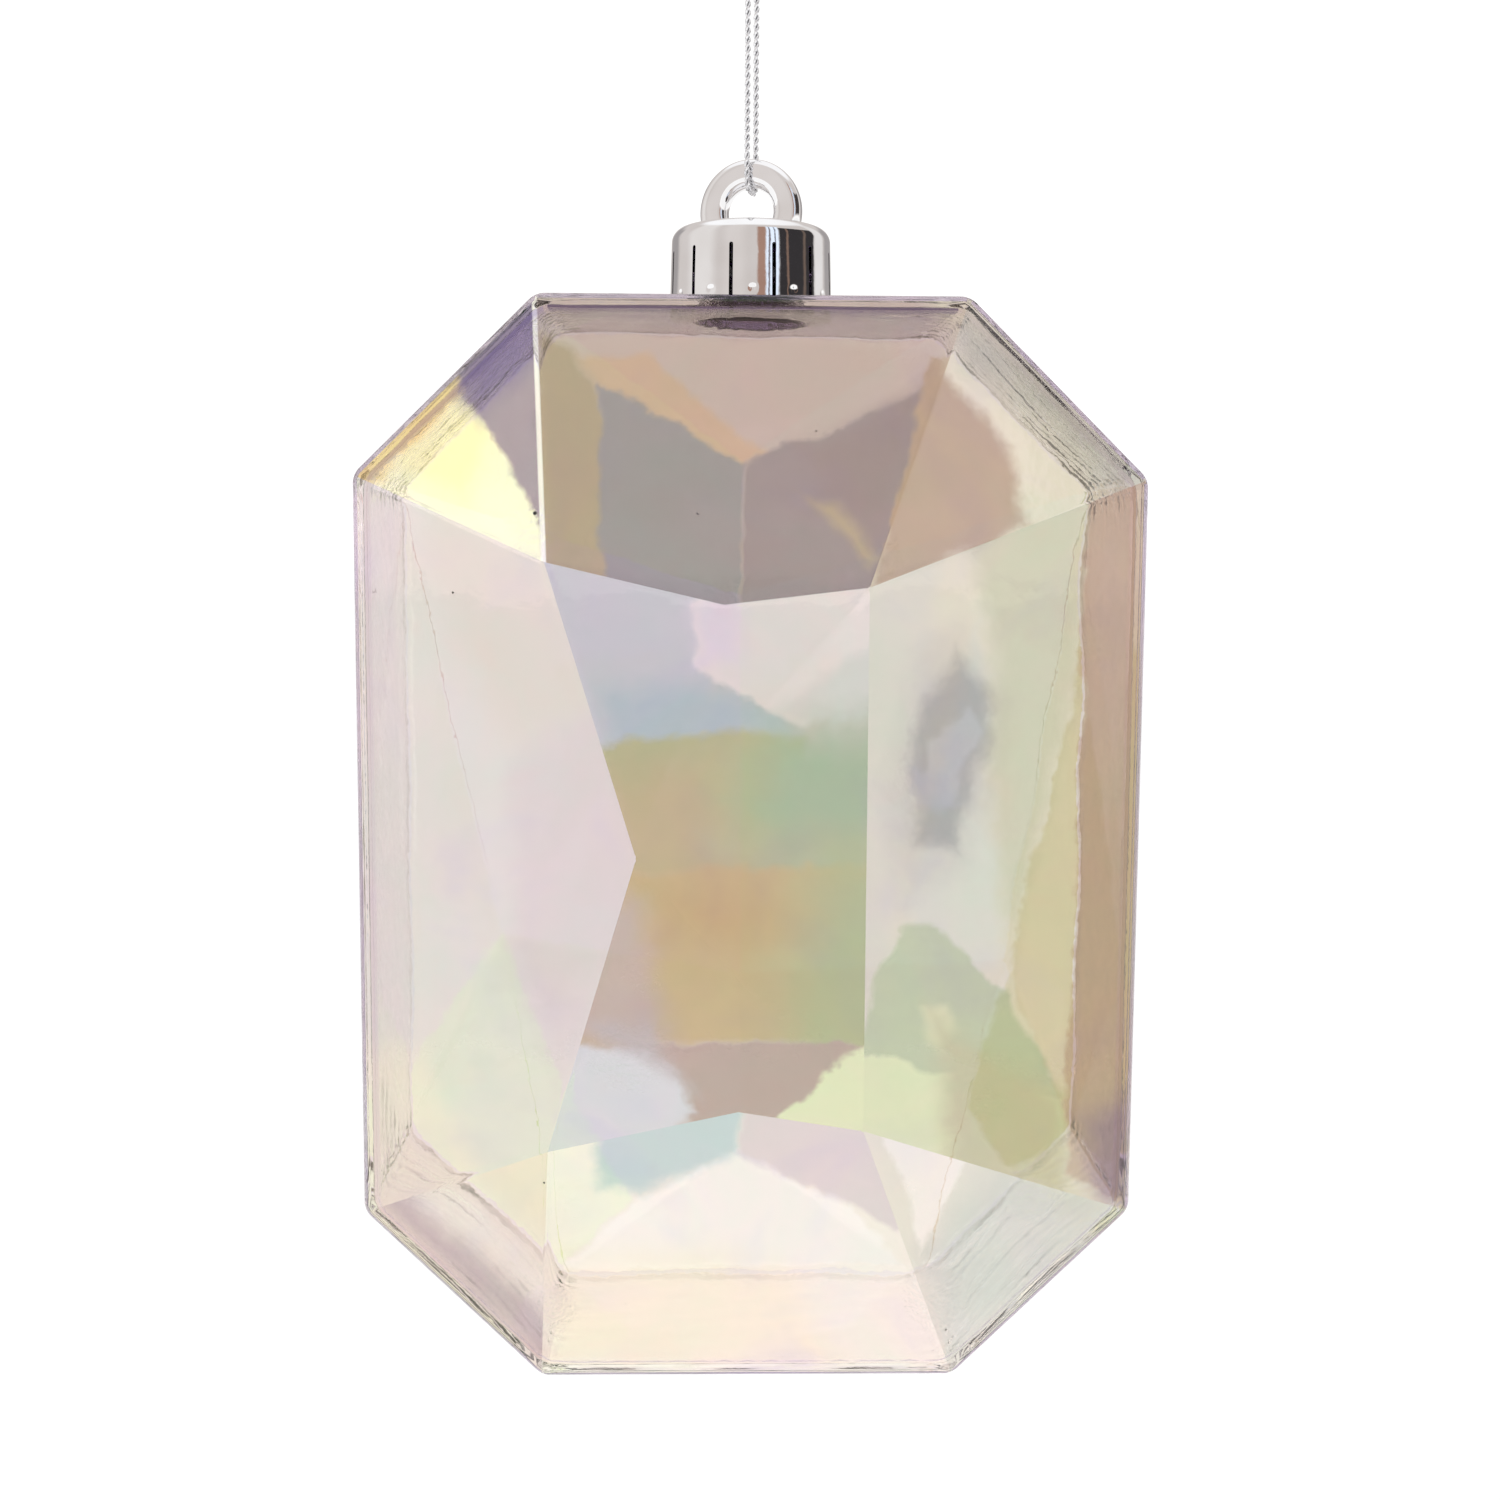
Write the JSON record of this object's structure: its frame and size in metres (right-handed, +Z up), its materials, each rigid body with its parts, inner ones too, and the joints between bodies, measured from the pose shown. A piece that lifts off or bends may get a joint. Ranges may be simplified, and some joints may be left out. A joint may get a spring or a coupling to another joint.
{
  "type": "faceted jewel hanging ornament",
  "caption": "Hollow clear ornament shaped like a tall cut gem, with a mirror-plated snap cap and eye, hung from a knotted loop of metallic cord.",
  "frame": {"origin": "underside of the cord loop's crest, where a hook carries the ornament", "axes": "+Z up along the cord, -Y out of the gem's front, +X to the right seen from the front"},
  "size_m": [0.098, 0.0536, 0.2246],
  "materials": {
    "clear_iridescent_plastic": "clear moulded plastic with a thin pearl coating that shifts between pink, lilac, pale green and amber",
    "mirror_plated_plastic": "mirror-bright vacuum plating over plastic",
    "metallic_cord": "silver metallic twist with dark gaps between its strands"
  },
  "bodies": {
    "cord": {"hanging_cord": "metallic_cord", "cord_knot": "metallic_cord"},
    "cap": {"hanger_cap": "mirror_plated_plastic"},
    "gem": {"gem_body": "clear_iridescent_plastic"}
  },
  "joints": [
    {"name": "eye_swing", "type": "hinge", "parent": "cord", "child": "cap", "pos_m": [0, 0, -0.0633], "axis": [0.2588, 0.9659, 0], "range_deg": [-60, 60]},
    {"name": "cap_turn", "type": "hinge", "parent": "cap", "child": "gem", "pos_m": [0, 0, -0.0713], "axis": [0, 0, 1], "continuous": true}
  ]
}
